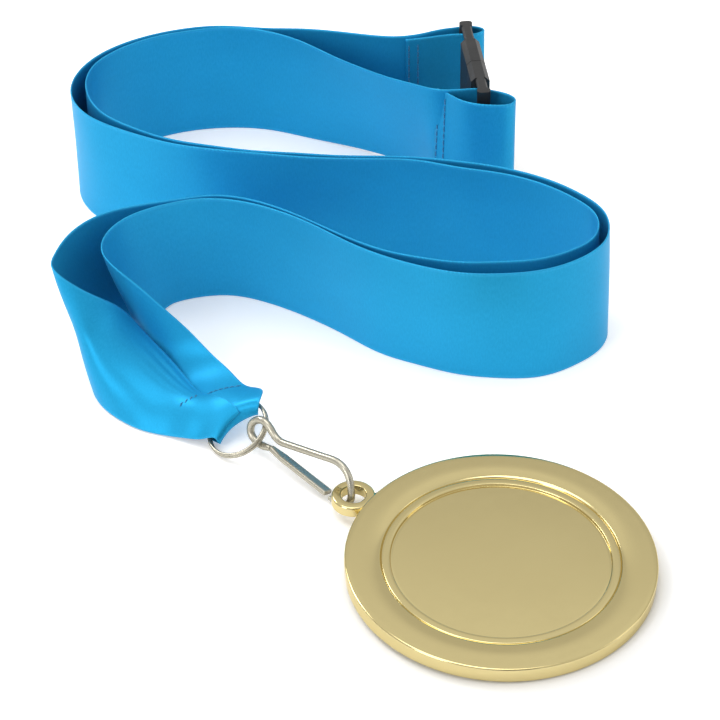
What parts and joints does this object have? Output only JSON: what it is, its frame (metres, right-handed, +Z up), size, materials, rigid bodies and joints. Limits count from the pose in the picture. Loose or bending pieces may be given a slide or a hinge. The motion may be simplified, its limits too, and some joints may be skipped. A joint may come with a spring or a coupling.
{
  "type": "award medal on neck ribbon",
  "caption": "Round blank award medal with a stepped rim, snap hook, split ring and a neck ribbon with a safety buckle, laid in an S.",
  "frame": {"origin": "middle of the underside of the whole laid-out medal and ribbon, on the table", "axes": "+Z up from the table, +Y from the medal end towards the buckle end, +X to the right seen from the medal end"},
  "size_m": [0.1304, 0.2034, 0.0343],
  "materials": {
    "gold_plate": "polished pale gold plating",
    "nickel_wire": "polished warm nickel plating",
    "ribbon_satin": "woven satin with a fine ribbed edge",
    "sewing_thread": "twisted polyester thread",
    "buckle_plastic": "moulded satin black"
  },
  "bodies": {
    "lanyard": {"ribbon_left_leg": "ribbon_satin", "ribbon_right_leg": "ribbon_satin", "tip_stitching": "sewing_thread", "left_loop_stitching": "sewing_thread", "right_loop_stitching": "sewing_thread"},
    "split_ring": {"split_ring": "nickel_wire"},
    "hook": {"hook_wire": "nickel_wire"},
    "hook_gate": {"hook_gate": "nickel_wire"},
    "medal": {"medal": "gold_plate"},
    "buckle_socket": {"buckle_socket": "buckle_plastic"},
    "buckle_plug": {"buckle_plug": "buckle_plastic"}
  },
  "joints": [
    {"name": "ring_in_ribbon", "type": "hinge", "parent": "lanyard", "child": "split_ring", "pos_m": [-0.02285, -0.02609, 0.00422], "axis": [-0.3996, -0.2597, 0.8791], "range_deg": [0, 15]},
    {"name": "hook_on_ring", "type": "hinge", "parent": "split_ring", "child": "hook", "pos_m": [-0.01714, -0.02963, 0.00578], "axis": [-0.392, -0.8185, -0.42], "range_deg": [0, 60]},
    {"name": "gate_spring", "type": "hinge", "parent": "hook", "child": "hook_gate", "pos_m": [-0.01534, -0.03252, 0.00369], "axis": [-0.6468, -0.6816, 0.342], "range_deg": [0, 12], "stiffness_Nm_per_rad": 0.02},
    {"name": "medal_on_hook", "type": "hinge", "parent": "hook", "child": "medal", "pos_m": [0.00169, -0.04901, 0.00303], "axis": [-0.2354, -0.2481, -0.9397], "range_deg": [0, 15]},
    {"name": "buckle_in_left_loop", "type": "hinge", "parent": "lanyard", "child": "buckle_socket", "pos_m": [0.03205, 0.09341, 0.01737], "axis": [0, 0, 1], "range_deg": [-4, 4]},
    {"name": "buckle_release", "type": "slide", "parent": "buckle_socket", "child": "buckle_plug", "axis": [0.0966, -0.9953, 0], "range_m": [0, 0.001]}
  ]
}
